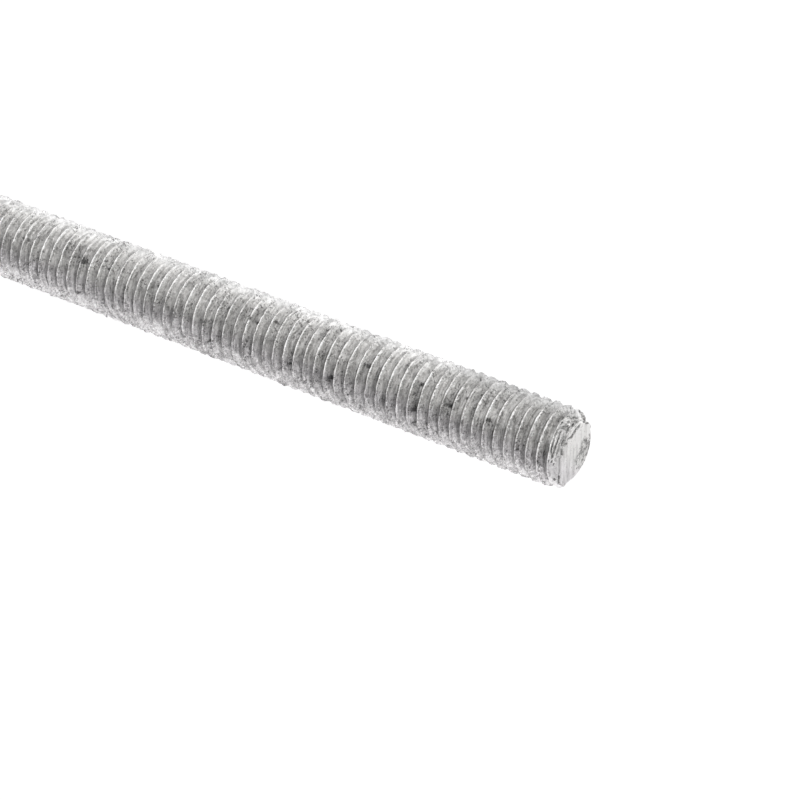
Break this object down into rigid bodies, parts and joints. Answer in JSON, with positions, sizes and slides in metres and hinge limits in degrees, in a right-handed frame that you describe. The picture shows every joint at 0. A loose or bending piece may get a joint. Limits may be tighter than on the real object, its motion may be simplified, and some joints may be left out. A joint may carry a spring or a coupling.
{
  "type": "threaded rod",
  "caption": "Straight galvanised steel rod with a coarse metric thread along its whole length, both ends sawn flat and chamfered.",
  "frame": {"origin": "centre of the lower sawn end, on the surface that the rod stands on", "axes": "+Z along the rod's axis, from the lower sawn end to the upper one; X and Y are square to it and have no feature of their own"},
  "size_m": [0.0098, 0.0098, 0.13],
  "materials": {
    "zinc": "hot-dip galvanised: matt, pale grey, mottled and slightly lumpy, with no visible brushing"
  },
  "bodies": {
    "root": {"threaded_rod": "zinc"}
  },
  "joints": []
}
